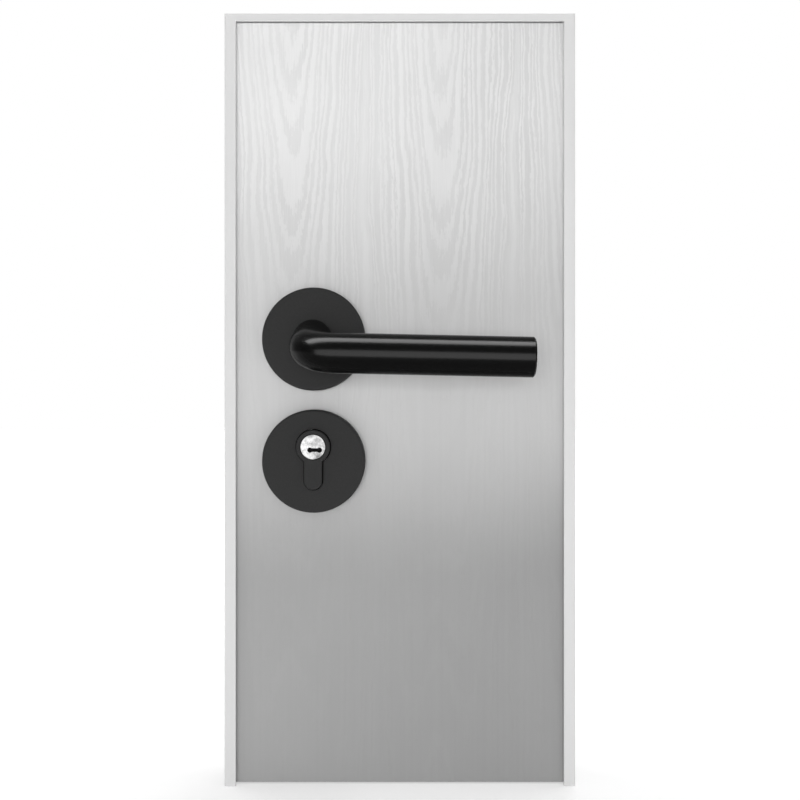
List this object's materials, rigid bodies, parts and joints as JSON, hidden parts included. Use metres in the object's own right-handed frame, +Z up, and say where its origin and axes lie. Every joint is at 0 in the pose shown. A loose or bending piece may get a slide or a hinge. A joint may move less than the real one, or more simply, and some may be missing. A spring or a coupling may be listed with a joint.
{
  "type": "interior door display sample",
  "caption": "Flush interior door sample: a pale grey veneered leaf hinged in a slim frame, with black lever handles on round roses and a profile cylinder.",
  "frame": {"origin": "on the outer face of the hinge jamb, at floor level and at the middle of the jamb's depth", "axes": "+X out of the hinge jamb into the wall, front of the door faces -Y, +Z up"},
  "size_m": [0.178, 0.134, 0.392],
  "materials": {
    "frame_paint": "satin",
    "grey_rubber": "matt",
    "grey_veneer": "satin",
    "core_board": "matt",
    "black_metal": "satin",
    "nickel": "satin",
    "zinc_steel": "satin",
    "satin_steel": "satin"
  },
  "bodies": {
    "frame": {"hinge_jamb": "frame_paint", "lock_jamb": "frame_paint", "head": "frame_paint", "hinge_seal": "grey_rubber", "lock_seal": "grey_rubber", "head_seal": "grey_rubber", "upper_hinge_frame_plate": "satin_steel", "lower_hinge_frame_plate": "satin_steel", "upper_hinge_pin": "satin_steel", "lower_hinge_pin": "satin_steel"},
    "leaf": {"leaf_core": "core_board", "front_skin": "grey_veneer", "back_skin": "grey_veneer", "lock_lipping": "grey_veneer", "hinge_lipping": "grey_veneer", "top_lipping": "grey_veneer", "bottom_lipping": "grey_veneer", "lock_case": "zinc_steel", "lock_faceplate": "satin_steel", "latch_bolt": "nickel", "dead_bolt": "nickel", "upper_hinge_leaf_plate": "satin_steel", "lower_hinge_leaf_plate": "satin_steel", "front_lever_rose": "black_metal", "back_lever_rose": "black_metal", "front_lock_rose": "black_metal", "back_lock_rose": "black_metal", "lock_cylinder": "black_metal", "back_plug": "nickel"},
    "lever": {"front_lever": "black_metal", "back_lever": "black_metal", "spindle": "zinc_steel"},
    "plug": {"front_plug": "nickel"}
  },
  "joints": [
    {"name": "leaf_swing", "type": "hinge", "parent": "frame", "child": "leaf", "pos_m": [-0.00325, 0.018, 0], "axis": [0, 0, -1], "range_deg": [0, 105]},
    {"name": "lever_turn", "type": "hinge", "parent": "leaf", "child": "lever", "pos_m": [-0.1325, 0, 0.2266], "axis": [0, 1, 0], "range_deg": [0, 45], "stiffness_Nm_per_rad": 1.2, "springref_deg": -34.38},
    {"name": "plug_turn", "type": "hinge", "parent": "leaf", "child": "plug", "pos_m": [-0.1325, 0, 0.1723], "axis": [0, -1, 0], "continuous": true}
  ]
}
